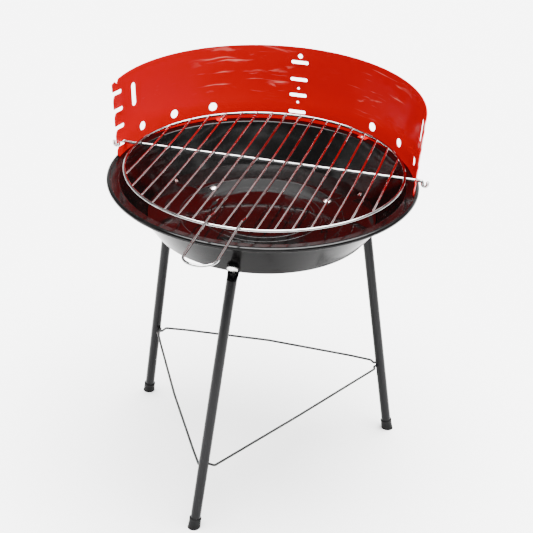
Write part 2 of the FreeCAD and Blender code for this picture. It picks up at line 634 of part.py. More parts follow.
def build():
    """Every node of the grill, keyed by name, round the bowl's own axis."""
    nodes = {}
    nodes["fire_bowl"] = make_bowl()
    nodes["charcoal_tray"] = make_tray()
    nodes["wind_shield"] = make_shield()
    nodes["support_rod"] = make_rod()

    nodes["grid_ring"] = turned_grid(Part.makeTorus(RING_RADIUS, RING_WIRE))
    number = 0
    for step in range(-BARS_EACH_SIDE, BARS_EACH_SIDE + 1):
        if abs(step) == 1:
            continue
        number += 1
        x = step * BAR_PITCH
        half = grid_chord(x)
        bar = Part.makeCylinder(BAR_RADIUS, 2 * half, V(x, -half, 0), V(0, 1, 0))
        nodes["grid_bar_%02d" % number] = turned_grid(bar)
    nodes["grid_handle"] = turned_grid(make_handle())

    screws = []
    nuts = []
    for name, foot_angle, foot_radius, top_angle, brace_height in LEGS:
        nodes["leg_" + name] = make_leg(foot_angle, foot_radius, top_angle, brace_height)
        nodes["foot_cap_" + name] = make_foot(foot_angle, foot_radius, top_angle)
        normal = wall_normal(top_angle)
        seat = leg_seat(top_angle)
        grip = LEG_TAB_THICKNESS + SHEET + LEG_NUT_HEIGHT + 1
        screws.append(round_screw(seat + normal * LEG_TAB_THICKNESS, normal, LEG_HEAD_RADIUS,
                                  LEG_HEAD_HEIGHT, LEG_SHANK_RADIUS, grip, True))
        behind = seat - normal * (SHEET + LEG_NUT_GAP)
        nuts.append(hexagon(behind, normal * -1, LEG_NUT_FLATS, LEG_NUT_HEIGHT,
                            LEG_SHANK_RADIUS + THREAD_GAP))
    nodes["leg_screws"] = group(screws)
    nodes["leg_nuts"] = group(nuts)

    for name, first, second, first_bow, middle_bow, last_bow in BRACES:
        nodes["brace_" + name] = make_brace(LEGS[first], LEGS[second],
                                            first_bow, middle_bow, last_bow)

    bolts = []
    spacers = []
    nuts = []
    under_tray = TRAY_FLOOR_TOP - TRAY_SHEET
    on_bowl = BOWL_BOTTOM + SHEET
    for azimuth in TRAY_BOLT_AZIMUTHS:
        top = from_rear(azimuth, TRAY_BOLT_RADIUS, TRAY_FLOOR_TOP)
        length = TRAY_FLOOR_TOP - BOWL_BOTTOM + TRAY_NUT_HEIGHT + 1
        bolts.append(round_screw(top, UP, TRAY_HEAD_RADIUS, TRAY_HEAD_HEIGHT,
                                 TRAY_SHANK_RADIUS, length, False))
        foot = from_rear(azimuth, TRAY_BOLT_RADIUS, on_bowl)
        tube = Part.makeCylinder(TRAY_SPACER_RADIUS, under_tray - on_bowl, foot, UP)
        bore = Part.makeCylinder(TRAY_HOLE_RADIUS, under_tray - on_bowl, foot, UP)
        spacers.append(tube.cut(bore))
        below = from_rear(azimuth, TRAY_BOLT_RADIUS, BOWL_BOTTOM)
        nuts.append(hexagon(below, UP * -1, TRAY_NUT_FLATS, TRAY_NUT_HEIGHT,
                            TRAY_SHANK_RADIUS + THREAD_GAP))
    nodes["tray_bolts"] = group(bolts)
    nodes["tray_spacers"] = group(spacers)
    nodes["tray_nuts"] = group(nuts)

    screws = []
    nuts = []
    tab_top = LIP_TOP + SHIELD_SHEET
    for azimuth in TAB_AZIMUTHS:
        top = from_rear(azimuth, TAB_SCREW_RADIUS, tab_top)
        length = SHIELD_SHEET + SHEET + TAB_NUT_HEIGHT + 0.7
        screws.append(round_screw(top, UP, TAB_HEAD_RADIUS, TAB_HEAD_HEIGHT,
                                  TAB_SHANK_RADIUS, length, False))
        below = V(0, TAB_SCREW_RADIUS, LIP_TOP - SHEET)
        nut = hexagon(below, UP * -1, TAB_NUT_FLATS, TAB_NUT_HEIGHT, TAB_SHANK_RADIUS + THREAD_GAP)
        nut.rotate(below, UP, 30)
        nut.rotate(AXIS_FOOT, UP, -azimuth)
        nuts.append(nut)
    nodes["shield_screws"] = group(screws)
    nodes["shield_nuts"] = group(nuts)
    return nodes


def main():
    os.makedirs("parts", exist_ok=True)
    shift = V(0, footprint_shift(), 0)
    for name, shape in build().items():
        placed = shape.copy()
        placed.translate(shift)
        placed.exportStep("parts/" + name + ".step")


main()
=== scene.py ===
"""Looks of the round charcoal grill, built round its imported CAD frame.

Lengths in the tables are millimetres round the bowl's own axis; meshes are made in metres.
"""

import json
import math
import random

import bpy
from mathutils import Matrix, Vector, geometry

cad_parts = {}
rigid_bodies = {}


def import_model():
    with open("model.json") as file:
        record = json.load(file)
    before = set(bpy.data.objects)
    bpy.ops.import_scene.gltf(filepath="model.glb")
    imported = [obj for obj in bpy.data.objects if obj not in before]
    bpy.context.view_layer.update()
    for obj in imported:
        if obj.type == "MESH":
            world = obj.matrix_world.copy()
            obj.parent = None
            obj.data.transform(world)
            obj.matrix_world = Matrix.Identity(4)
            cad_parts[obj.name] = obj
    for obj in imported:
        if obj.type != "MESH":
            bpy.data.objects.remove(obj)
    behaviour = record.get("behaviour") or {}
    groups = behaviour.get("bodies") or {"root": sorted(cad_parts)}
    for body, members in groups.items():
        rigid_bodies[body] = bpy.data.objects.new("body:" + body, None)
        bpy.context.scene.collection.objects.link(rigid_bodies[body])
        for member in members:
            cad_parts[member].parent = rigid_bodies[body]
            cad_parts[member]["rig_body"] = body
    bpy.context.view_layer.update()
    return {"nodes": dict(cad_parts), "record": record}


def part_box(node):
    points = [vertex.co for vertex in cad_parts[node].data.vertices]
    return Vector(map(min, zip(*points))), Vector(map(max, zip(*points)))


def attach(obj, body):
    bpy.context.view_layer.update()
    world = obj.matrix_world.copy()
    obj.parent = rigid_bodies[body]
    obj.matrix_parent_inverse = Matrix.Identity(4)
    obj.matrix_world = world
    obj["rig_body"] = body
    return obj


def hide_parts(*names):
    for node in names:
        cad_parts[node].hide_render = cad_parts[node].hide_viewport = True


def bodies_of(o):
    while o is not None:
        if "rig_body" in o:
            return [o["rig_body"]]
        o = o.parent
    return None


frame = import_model()
nodes = frame["nodes"]
chance = random.Random(7)
MM = 0.001

# The bowl's own axis, taken from the frame: everything round is built about it.
rim_low, rim_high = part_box("fire_bowl")
AXIS = Vector(((rim_low.x + rim_high.x) / 2, (rim_low.y + rim_high.y) / 2, 0.0))


def box_mm(node):
    """A node's box in millimetres round the bowl's axis."""
    low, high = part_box(node)
    return (low - AXIS) / MM, (high - AXIS) / MM


# ---------------------------------------------------------------- shader helpers
class Shader:
    """A node material with one glossy shader, and short ways to build its inputs."""

    def __init__(self, name):
        self.mat = bpy.data.materials.new(name)
        self.mat.use_nodes = True
        self.tree = self.mat.node_tree
        self.tree.nodes.clear()
        out = self.node("OutputMaterial")
        self.bsdf = self.node("BsdfPrincipled")
        self.link(self.bsdf.outputs[0], out.inputs[0])

    def node(self, kind):
        return self.tree.nodes.new("ShaderNode" + kind)

    def link(self, a, b):
        self.tree.links.new(a, b)

    def put(self, socket, value):
        """A number, a colour or another node's output into a socket."""
        if isinstance(value, (int, float)):
            socket.default_value = value
        elif isinstance(value, tuple):
            socket.default_value = (*value, 1.0)[:len(socket.default_value)]
        else:
            self.link(value, socket)

    def set(self, **values):
        for name, value in values.items():
            self.put(self.bsdf.inputs[name.replace("_", " ")], value)

    def maths(self, what, a, b=0.0, c=0.0):
        node = self.node("Math")
        node.operation = what
        for socket, value in zip(node.inputs, (a, b, c)):
            self.put(socket, value)
        return node.outputs[0]

    def place(self):
        return self.node("TexCoord").outputs["Object"]

    def parts(self, vector):
        node = self.node("SeparateXYZ")
        self.link(vector, node.inputs[0])
        return node.outputs

    def join(self, x, y, z):
        node = self.node("CombineXYZ")
        for socket, value in zip(node.inputs, (x, y, z)):
            self.put(socket, value)
        return node.outputs[0]

    def round_axis(self):
        """Azimuth from the rear, distance from the bowl's axis, and height."""
        x, y, z = self.parts(self.place())
        y = self.maths("SUBTRACT", y, AXIS.y)
        x = self.maths("SUBTRACT", x, AXIS.x)
        away = self.maths("SQRT", self.maths("ADD", self.maths("MULTIPLY", x, x),
                                             self.maths("MULTIPLY", y, y)))
        return self.maths("ARCTAN2", x, y), away, z

    def noise(self, scale, detail=3.0, rough=0.5, vector=None, stretch=None, twist=0.0):
        node = self.node("TexNoise")
        node.inputs["Scale"].default_value = scale
        node.inputs["Detail"].default_value = detail
        node.inputs["Roughness"].default_value = rough
        node.inputs["Distortion"].default_value = twist
        vector = vector or self.place()
        if stretch:
            mapping = self.node("Mapping")
            mapping.inputs["Scale"].default_value = stretch
            self.link(vector, mapping.inputs["Vector"])
            vector = mapping.outputs["Vector"]
        self.link(vector, node.inputs["Vector"])
        return node.outputs["Fac"]

    def band(self, value, low, high, out_low=0.0, out_high=1.0):
        """Smooth change of a value between two limits."""
        node = self.node("MapRange")
        node.interpolation_type = "SMOOTHSTEP"
        for socket, number in zip(node.inputs, (value, low, high, out_low, out_high)):
            self.put(socket, number)
        return node.outputs[0]

    def mix(self, factor, a, b):
        node = self.node("Mix")
        node.data_type = "RGBA"
        self.put(node.inputs[0], factor)
        self.put(node.inputs[6], a)
        self.put(node.inputs[7], b)
        return node.outputs[2]

    def bump(self, *layers):
        """Layers of (height, strength, distance), one over the other."""
        normal = None
        for height, strength, distance in layers:
            node = self.node("Bump")
            node.inputs["Strength"].default_value = strength
            node.inputs["Distance"].default_value = distance
            self.link(height, node.inputs["Height"])
            if normal:
                self.link(normal, node.inputs["Normal"])
            normal = node.outputs["Normal"]
        self.link(normal, self.bsdf.inputs["Normal"])


# ---------------------------------------------------------------- materials
def black_enamel(name, gloss, smooth, rough, rings=()):
    """Deep gloss enamel: slow grey drift, wipe marks round the bowl, dust and orange peel."""
    s = Shader(name)
    turn, away, height = s.round_axis()
    round_it = s.join(s.maths("MULTIPLY", turn, 0.15), away, height)
    drift = s.noise(14.0, 4.0, 0.55)
    base = s.mix(drift, (0.0006, 0.0005, 0.0005), (0.0020, 0.0017, 0.0017))
    dust = s.band(s.noise(620.0, 2.0, 0.5), 0.70, 0.78)
    speck = s.maths("MULTIPLY", dust, s.band(s.noise(11.0, 2.0), 0.45, 0.65))
    s.set(Base_Color=s.mix(s.maths("MULTIPLY", speck, 0.5), base, (0.030, 0.027, 0.025)))
    wipe = s.noise(60.0, 4.0, 0.6, round_it, (0.25, 1.0, 1.0))
    s.set(Roughness=s.band(wipe, 0.35, 0.75, smooth, rough), Specular_IOR_Level=gloss)
    layers = []
    for ring in rings:
        off = s.maths("ABSOLUTE", s.maths("SUBTRACT", away, ring))
        layers.append((s.band(off, 0.0, 0.0007), 0.7, 0.00025))
    s.bump(*layers, (s.noise(9.0, 2.0), 0.12, 0.004), (s.noise(70.0, 2.0), 0.03, 0.0006),
           (s.noise(900.0, 2.0), 0.02, 0.0002))
    return s.mat


def red_enamel():
    """Gloss red sheet: lighter red low down by the bowl, with pale level streaks and swirls painted in as
    highlights on its upper left and right.
    """
    s = Shader("red_enamel")
    turn, _, height = s.round_axis()
    level = s.join(s.maths("MULTIPLY", turn, 0.18), 0.0, height)
    drift = s.noise(11.0, 3.0, 0.5)
    base = s.mix(drift, (0.37, 0.0, 0.003), (0.42, 0.0, 0.003))
    low = s.band(height, 0.383, 0.440)
    base = s.mix(low, (0.46, 0.0, 0.003), base)
    wavy = s.join(s.maths("MULTIPLY", turn, 0.18), 0.0,
                  s.maths("ADD", height, s.maths("MULTIPLY", s.noise(16.0, 2.0), 0.010)))
    highlight_streaks = s.band(s.noise(150.0, 3.0, 0.55, wavy, (0.10, 1.0, 1.5), 0.4), 0.60, 0.74)
    highlight_swirls = s.band(s.noise(34.0, 3.0, 0.5, wavy, (0.30, 1.0, 1.0), 2.6), 0.64, 0.72)
    # Painted highlights: pale streaks and swirls mixed into the colour on the upper left and right of the
    # sheet.
    left = s.maths("MULTIPLY", s.band(turn, -0.85, -0.50), s.band(turn, 0.05, -0.15))
    right = s.maths("MULTIPLY", s.band(turn, 0.32, 0.55), s.band(turn, 1.05, 0.80))
    upper = s.band(height, 0.398, 0.420)
    where = s.maths("MULTIPLY", s.maths("MAXIMUM", left, right), upper)
    painted_highlight = s.maths("MULTIPLY", s.maths("MAXIMUM", highlight_streaks, s.maths("MULTIPLY", highlight_swirls, 0.5)), where)
    s.set(Base_Color=s.mix(s.maths("MULTIPLY", painted_highlight, 0.7), base, (0.80, 0.20, 0.16)),
          Roughness=s.band(s.noise(45.0, 4.0, 0.6, level, (0.3, 1.0, 1.0)), 0.3, 0.8, 0.14, 0.34),
          Specular_IOR_Level=0.04)
    s.bump((s.noise(7.0, 2.0), 0.15, 0.004), (s.noise(60.0, 3.0, 0.5, level, (0.2, 1.0, 1.0)), 0.10, 0.0006),
           (s.noise(800.0, 2.0), 0.03, 0.0002))
    return s.mat


def chromed(name, bright, dull):
    """Plated wire with dull patches."""
    s = Shader(name)
    patch = s.noise(120.0, 4.0, 0.6)
    s.set(Base_Color=s.mix(s.band(patch, 0.45, 0.75), bright, dull),
          Metallic=1.0, Roughness=s.band(patch, 0.35, 0.75, 0.06, 0.15))
    s.bump((s.noise(90.0, 2.0), 0.03, 0.0002), (s.noise(1400.0, 2.0), 0.03, 0.0001))
    return s.mat


def zinc(name, bright, dull, low, high):
    """Zinc-plated screws and nuts."""
    s = Shader(name)
    patch = s.noise(300.0, 4.0, 0.6)
    s.set(Base_Color=s.mix(s.band(patch, 0.4, 0.7), bright, dull), Metallic=1.0,
          Roughness=s.band(patch, 0.35, 0.75, low, high))
    s.bump((s.noise(1300.0, 2.0), 0.10, 0.0001),)
    return s.mat


def painted(name, light, dark, low, high, specular, grain, stretch=(1, 1, 1)):
    """Satin paint, coated wire or rubber."""
    s = Shader(name)
    drift = s.noise(46.0, 5.0, 0.6, None, stretch)
    chip = s.band(s.noise(520.0, 2.0), 0.72, 0.80)
    base = s.mix(drift, dark, light)
    s.set(Base_Color=s.mix(s.maths("MULTIPLY", chip, 0.35), base, tuple(3.0 * c for c in light)),
          Roughness=s.band(drift, 0.3, 0.7, low, high), Specular_IOR_Level=specular)
    s.bump((s.noise(85.0, 3.0, 0.5, None, stretch), 0.12, 0.0005), (s.noise(1100.0, 2.0), grain, 0.0002))
    return s.mat


BLACK = black_enamel("black_enamel", 0.24, 0.12, 0.22)
TRAY = black_enamel("black_enamel_tray", 0.26, 0.05, 0.12, (0.062, 0.071, 0.096))
OUTSIDE = black_enamel("black_enamel_outside", 0.02, 0.12, 0.24)
RED = red_enamel()
CHROME = chromed("grid_chrome", (0.78, 0.77, 0.77), (0.56, 0.54, 0.52))
# Painted shade: darker copies of the grid's chrome, dimming the ring, the support rod and the handle.
SHADED_RING_CHROME = chromed("grid_chrome_ring_painted_shade", (0.40, 0.40, 0.40), (0.28, 0.27, 0.26))
SHADED_HANDLE_CHROME = chromed("grid_chrome_handle_painted_shade", (0.42, 0.42, 0.42), (0.26, 0.26, 0.25))
ZINC = zinc("zinc_steel", (0.80, 0.79, 0.77), (0.52, 0.50, 0.46), 0.22, 0.38)
# Painted shade: a near-black copy of the zinc for the leg nuts down in the crease by the tray's edge.
SHADED_ZINC = zinc("zinc_steel_painted_shade", (0.020, 0.018, 0.016), (0.008, 0.007, 0.006), 0.35, 0.55)
LEG = painted("leg_paint", (0.010, 0.010, 0.011), (0.002, 0.002, 0.002), 0.10, 0.30, 0.09, 0.04, (7, 7, 0.25))
RUBBER = painted("foot_rubber", (0.006, 0.006, 0.006), (0.003, 0.003, 0.003), 0.55, 0.75, 0.10, 0.35)
WIRE = painted("brace_wire", (0.012, 0.012, 0.012), (0.004, 0.004, 0.004), 0.30, 0.45, 0.35, 0.10)
BY_SLOT = {"black_enamel": BLACK, "red_enamel": RED, "grid_chrome": CHROME, "zinc_steel": ZINC,
           "leg_paint": LEG, "foot_rubber": RUBBER, "brace_wire": WIRE}
SUBPARTS = {part["node"]: part for part in frame["record"]["subparts"]}

for name, obj in nodes.items():
    slot = SUBPARTS[name]["material_slot"]
    obj.data.materials.clear()
    obj.data.materials.append(BY_SLOT[slot])
# The leg nuts get the zinc darkened as painted shade.
nodes["leg_nuts"].data.materials[0] = SHADED_ZINC


# ---------------------------------------------------------------- mesh helpers
ON_AXIS = 1e-6


def body_of(node):
    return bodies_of(nodes[node])[0]


def piece(name, points, faces, stands_for, finish=None, sharp=38.0):
    """A mesh given in millimetres round the bowl's axis, riding and finished like its CAD nodes."""
    mesh = bpy.data.meshes.new(name)
    mesh.from_pydata([AXIS + Vector(p) * MM for p in points], [], faces)
    mesh.validate()
    mesh.update()
    mesh.shade_smooth()
    mesh.set_sharp_from_angle(angle=math.radians(sharp))
    slot = SUBPARTS[stands_for[0]]["material_slot"]
    mesh.materials.append(finish or BY_SLOT[slot])
    obj = bpy.data.objects.new(name, mesh)
    bpy.context.scene.collection.objects.link(obj)
    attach(obj, body_of(stands_for[0]))
    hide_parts(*stands_for)
    return obj


def rounded(points, radii, closed, step=8.0):
    """Points along straight runs with a tangent arc at each point that has a radius."""
    out = []
    count = len(points)
    for i, point in enumerate(points):
        radius = radii[i]
        if radius == 0 or (not closed and i in (0, count - 1)):
            out.append(point.copy())
            continue
        back = (points[i - 1] - point).normalized()
        ahead = (points[(i + 1) % count] - point).normalized()
        half = back.angle(ahead) / 2
        if half > math.radians(89.5):
            out.append(point.copy())
            continue
        middle = (back + ahead).normalized()
        centre = point + middle * (radius / math.sin(half))
        start = point + back * (radius / math.tan(half)) - centre
        turn = math.pi - 2 * half
        steps = max(2, math.ceil(math.degrees(turn) / step))
        side = back * -radius
        for k in range(steps + 1):
            angle = turn * k / steps
            out.append(centre + start * math.cos(angle) + side * math.sin(angle))
    return out


def lathe(corners, turns, shape=None):
    """Closed outline of (radius, height, corner radius) turned round the bowl's axis."""
    sharp = [Vector((r, 0, z)) for r, z, corner in corners]
    flat = rounded(sharp, [corner for r, z, corner in corners], True)
    flat = [p for i, p in enumerate(flat) if (p - flat[i - 1]).length > 1e-4]
    points = []
    for t in range(turns):
        angle = 2 * math.pi * t / turns
        for p in flat:
            r, z = (p.x, p.z) if shape is None else shape(p.x, p.z, angle)
            points.append((r * math.sin(angle), -r * math.cos(angle), z))
    n = len(flat)
    faces = []
    for t in range(turns):
        u = (t + 1) % turns
        for i in range(n):
            j = (i + 1) % n
            if flat[i].x < ON_AXIS and flat[j].x < ON_AXIS:
                continue
            faces.append((t * n + i, t * n + j, u * n + j, u * n + i))
    return points, faces


def tube(path, radius, sides=14, closed=False, swell=None):
    """Round wire along a path, with chamfered ends; swell gives its radius at each point."""
    n = len(path)
    radii = list(swell) if swell else [radius] * n
    heads = []
    for i in range(n):
        before = path[i - 1] if closed or i else path[i]
        after = path[(i + 1) % n] if closed or i < n - 1 else path[i]
        heads.append((after - before).normalized())
    across = heads[0].orthogonal().normalized()
    frames = []
    for head in heads:
        across = (across - head * across.dot(head)).normalized()
        frames.append((across.copy(), head.cross(across)))
    rings = [(path[i], radii[i], frames[i]) for i in range(n)]
    if not closed:
        tip = 0.62
        nose = 0.35
        start = [(path[0], radii[0] * tip, frames[0]),
                 (path[0] + heads[0] * nose * radius, radii[0], frames[0])]
        end = [(path[-1] - heads[-1] * nose * radius, radii[-1], frames[-1]),
               (path[-1], radii[-1] * tip, frames[-1])]
        rings = start + rings[1:-1] + end
    points = []
    for centre, r, (u, v) in rings:
        for k in range(sides):
            angle = 2 * math.pi * k / sides
            points.append(centre + u * (r * math.cos(angle)) + v * (r * math.sin(angle)))
    faces = []
    m = len(rings)
    for i in range(m if closed else m - 1):
        j = (i + 1) % m
        shift = 0
        if closed and j == 0:
            across = frames[0][0]
            u, v = frames[-1]
            shift = round(math.atan2(across.dot(v), across.dot(u)) / (2 * math.pi) * sides)
        for k in range(sides):
            l = (k + 1) % sides
            faces.append((i * sides + (k + shift) % sides, i * sides + (l + shift) % sides,
                          j * sides + l, j * sides + k))
    if not closed:
        faces.append(tuple(reversed(range(sides))))
        faces.append(tuple(range((m - 1) * sides, m * sides)))
    return points, faces


def smooth_path(points, radii, longest):
    """Rounded path with its long runs divided."""
    coarse = rounded(points, radii, False)
    path = [coarse[0]]
    for a, b in zip(coarse, coarse[1:]):
        parts = max(1, math.ceil((b - a).length / longest))
        path += [a.lerp(b, k / parts) for k in range(1, parts + 1)]
    return path


def merge(parts):
    """Several (points, faces) as one."""
    points = []
    faces = []
    for more, tiles in parts:
        base = len(points)
        points += list(more)
        faces += [tuple(base + i for i in tile) for tile in tiles]
    return points, faces


# ---------------------------------------------------------------- bowl and tray
rim_box = box_mm("fire_bowl")
RIM, TOP, BOTTOM = rim_box[1].x, rim_box[1].z, rim_box[0].z
LIP = TOP - 1.0
BEAD_IN = RIM - 4.4
WALL_TOP, WALL_FOOT = 166.4, 125.5
SHEET = 1.2
LIP_LEAN = 0.8
slope = (WALL_TOP - WALL_FOOT) / (LIP - SHEET - BOTTOM)
inset = SHEET / math.cos(math.atan(slope)) - SHEET * slope
bead_low = TOP - 5.5

bowl = lathe((
    (0, BOTTOM, 0), (WALL_FOOT, BOTTOM, 8.0), (WALL_TOP, LIP - SHEET - 0.6, 1.2),
    (BEAD_IN + 1.1, LIP - SHEET, 0.3),
    (BEAD_IN + 1.1, TOP - SHEET, 0.5), (RIM - SHEET, TOP - SHEET, 1.45),
    (RIM - SHEET, bead_low + SHEET, 1.45),
    (BEAD_IN + 1.1, bead_low + SHEET, 0), (BEAD_IN + 1.1, bead_low, 0), (RIM, bead_low, 2.7), (RIM, TOP, 2.7),
    (BEAD_IN, TOP, 0.5), (BEAD_IN, LIP, 0.2), (WALL_TOP - inset, LIP - LIP_LEAN, 2.4),
    (WALL_FOOT - inset, BOTTOM + SHEET, 6.8), (0, BOTTOM + SHEET, 0),
), 288)
bowl_piece = piece("bowl_enamelled", *bowl, ("fire_bowl",))

# The sloping wall and the bottom are duller outside.
bowl_piece.data.materials.append(OUTSIDE)
for tile in bowl_piece.data.polygons:
    spot = (tile.center - AXIS) / MM
    wall = WALL_FOOT + slope * (spot.z - BOTTOM)
    if spot.z < LIP - 2 and spot.xy.length > wall - 0.6 or spot.z < BOTTOM + 0.5:
        tile.material_index = 1

FLOOR = 331.0
EDGE = 133.4
NUT_ROOM = 7.5
LEG_TOPS = (0.6, 128.1, 248.0)


def tray_shape(r, z, angle):
    """The tray's edge stands back from the three leg nuts."""
    for top in LEG_TOPS:
        off = math.remainder(angle - math.radians(top), 2 * math.pi)
        if abs(EDGE * math.sin(off)) < NUT_ROOM and abs(off) < 1:
            r = min(r, EDGE * math.cos(off) - math.sqrt(NUT_ROOM ** 2 - (EDGE * math.sin(off)) ** 2))
    return r, z


tray = lathe((
    (0, FLOOR + 0.2, 0), (58, FLOOR + 0.2, 60), (82, FLOOR - 1, 60), (96, FLOOR - 1, 30.0),
    (EDGE - 0.6, 333.4, 0.1), (EDGE, 334.4, 0.1), (96, FLOOR, 29.0), (82, FLOOR, 60),
    (58, FLOOR + 1.2, 60), (0, FLOOR + 1.2, 0),
), 720, tray_shape)
piece("tray_enamelled", *tray, ("charcoal_tray",), TRAY)


# ---------------------------------------------------------------- wind shield
SHIELD_LOW, SHIELD_HIGH = 175.3, 180.8
SHIELD_SHEET = 1.0
REAR_TOP, END_TOP = 474.6, 471.5
END_TURN = math.radians(92.0)
ROD_Y = 17.7
NOTCH = 392.0
NOTCH_PITCH = 21.1
NOTCH_TILT = math.radians(9.5)
NOTCH_HALF = 2.6
LIP_ROLL = 7.0
CORNER = 8.0
V_Y, V_BOTTOM, V_HALF = 8.5, 467.0, 20.0
HOLE_TURNS, HOLE_HEIGHT, HOLE_WIDE = (35.3, 53.0, 70.6), 397.0, 10.8
END_SLOT_TURN, END_SLOT_HEIGHT, END_SLOT_WIDE, END_SLOT_TALL = 75.0, 441.5, 9.0, 29.0
REAR_SLOTS, REAR_SLOT_WIDE, REAR_SLOT_TALL = (455.6, 433.6, 413.2, 391.4), 22.0, 4.5
REAR_HOLES = ((463.4, 3.0), (422.0, 1.6), (404.0, 1.6))
TAB_TURN, TAB_HALF, TAB_HALF_SHEET = math.radians(32), 6.5, 0.45
flare = (SHIELD_HIGH - SHIELD_LOW) / (REAR_TOP - LIP)


def shield_radius(z):
    return SHIELD_LOW + flare * (z - LIP)


def azimuth(y, z):
    """Azimuth from the rear of the sheet's point at a given y and height."""
    return math.acos(max(-1.0, min(1.0, y / shield_radius(z))))


def top_at(turn):
    """Height of the top edge, which falls a little from the rear to the ends."""
    return END_TOP + (REAR_TOP - END_TOP) * math.cos(turn)


def end_outline():
    """Outline (azimuth, height) of the +X end, from its lower corner to the top beside the V notch."""
    out = []
    corner_y = shield_radius(LIP) * math.cos(END_TURN)
    for k in range(8):
        angle = math.pi / 2 * k / 10
        y = corner_y + CORNER - CORNER * math.sin(angle)
        z = LIP + CORNER - CORNER * math.cos(angle)
        out.append((y, z))
    tilt = NOTCH_TILT
    half = NOTCH_HALF
    for n in range(4):
        seat = NOTCH + NOTCH_PITCH * n
        for side in (-1, 1):
            edge = []
            for k in range(9):
                angle = -math.pi / 2 + math.pi / 2 * k / 8 if side < 0 else math.pi / 2 * k / 8
                c, s = math.cos(angle), math.sin(angle)
                edge.append((ROD_Y + half * (c * math.cos(tilt) + s * math.sin(tilt)),
                             seat + half * (s * math.cos(tilt) - c * math.sin(tilt))))
            mouth = edge[0] if side < 0 else edge[-1]
            if side < 0:
                lip_y = corner_y + LIP_ROLL
                centre = mouth[1] + (mouth[0] - lip_y) * math.tan(tilt) - LIP_ROLL / math.cos(tilt)
                turns = [math.pi - (math.pi / 2 + tilt) * k / 8 for k in range(9)]
                out += [(lip_y + LIP_ROLL * math.cos(a), centre + LIP_ROLL * math.sin(a)) for a in turns]
                out += edge
            else:
                out += edge[1:] + [(corner_y, mouth[1] + (mouth[0] - corner_y) * math.tan(tilt))]
    out.append((corner_y, END_TOP - 0.1))
    lean = V_HALF / (REAR_TOP + 10 - V_BOTTOM)
    width = lean * (END_TOP + 0.2 - V_BOTTOM)
    out += [(V_Y - width, END_TOP + 0.1), (V_Y, V_BOTTOM), (V_Y + width, END_TOP + 0.2)]
    return [(azimuth(y, z), z) for y, z in out]


def loop_hole(turn, height, wide, tall, count=28):
    """Round-ended hole, as (azimuth, height) points."""
    r = min(wide, tall) / 2
    out = []
    for k in range(count):
        angle = 2 * math.pi * (k + 0.5) / count
        x, z = r * math.cos(angle), r * math.sin(angle)
        x += math.copysign(max(0, wide / 2 - r), x)
        z += math.copysign(max(0, tall / 2 - r), z)
        out.append((turn + x / shield_radius(height), height + z))
    return out


def make_shield():
    """The sheet laid flat, filled with triangles round its holes, and bent round the bowl's axis."""
    right = end_outline()
    last = right[-1][0]
    rear = [last * (1 - k / 60) for k in range(1, 60)]
    top_line = [(a, top_at(a)) for a in rear] + [(0.0, top_at(0))] + [(-a, top_at(a)) for a in reversed(rear)]
    left = [(-a, z) for a, z in reversed(right)]
    first = right[0][0]
    base = [(-first * (1 - k / 60) + first * k / 60, LIP) for k in range(1, 60)]
    loops = [right + top_line + left + base]
    for side in (-1, 1):
        for turn in HOLE_TURNS:
            loops.append(loop_hole(side * math.radians(turn), HOLE_HEIGHT, HOLE_WIDE, HOLE_WIDE))
        loops.append(loop_hole(side * math.radians(END_SLOT_TURN), END_SLOT_HEIGHT,
                               END_SLOT_WIDE, END_SLOT_TALL))
    for height in REAR_SLOTS:
        loops.append(loop_hole(0, height, REAR_SLOT_WIDE, REAR_SLOT_TALL))
    for height, r in REAR_HOLES:
        loops.append(loop_hole(0, height, 2 * r, 2 * r, 16))

    scale = SHIELD_LOW
    coords = []
    edges = []
    for loop in loops:
        start = len(coords)
        coords += [Vector((a * scale, z)) for a, z in loop]
        edges += [(start + i, start + (i + 1) % len(loop)) for i in range(len(loop))]
    rims = [c.copy() for c in coords]

    def inside(x, z):
        """Whether a point is on the sheet: inside the outline and in none of the holes."""
        hit = False
        for a, b in edges:
            p, q = rims[a], rims[b]
            if (p.y > z) != (q.y > z) and x < (q.x - p.x) * (z - p.y) / (q.y - p.y) + p.x:
                hit = not hit
        return hit

    # A grid of points over the sheet, none of them close to an edge.
    step = 5.0
    square = 4
    clear = 2.0
    cells = {}
    for p in rims:
        cells.setdefault((int(p.x // square), int(p.y // square)), []).append(p)
    span = int(END_TURN * scale / step) + 1
    for i in range(-span, span + 1):
        for j in range(20):
            x, z = i * step, LIP + step / 2 + j * step
            cell = (int(x // square), int(z // square))
            close = any((p - Vector((x, z))).length < clear
                        for dx in (-1, 0, 1) for dz in (-1, 0, 1)
                        for p in cells.get((cell[0] + dx, cell[1] + dz), ()))
            if not close and inside(x, z):
                coords.append(Vector((x, z)))
    flat, _, tiles, _, _, _ = geometry.delaunay_2d_cdt(coords, edges, [], 0, 1e-4)
    kept = []
    for tile in tiles:
        cx = sum(flat[i].x for i in tile) / 3
        cz = sum(flat[i].y for i in tile) / 3
        if inside(cx, cz):
            kept.append(tuple(tile))
    used = sorted({i for tile in kept for i in tile})
    where = {i: k for k, i in enumerate(used)}
    outer = []
    inner = []
    for i in used:
        turn, z = flat[i].x / scale, flat[i].y
        r = shield_radius(z)
        back = r - SHIELD_SHEET
        outer.append((r * math.sin(turn), r * math.cos(turn), z))
        inner.append((back * math.sin(turn), back * math.cos(turn), z))
    n = len(used)
    faces = [tuple(where[i] for i in reversed(tile)) for tile in kept]
    faces += [tuple(n + where[i] for i in tile) for tile in kept]
    sides = {}
    for tile in kept:
        for a, b in zip(tile, tile[1:] + tile[:1]):
            sides[(a, b)] = True
    for a, b in sides:
        if (b, a) not in sides:
            faces.append((where[a], where[b], n + where[b], n + where[a]))
    return outer + inner, faces


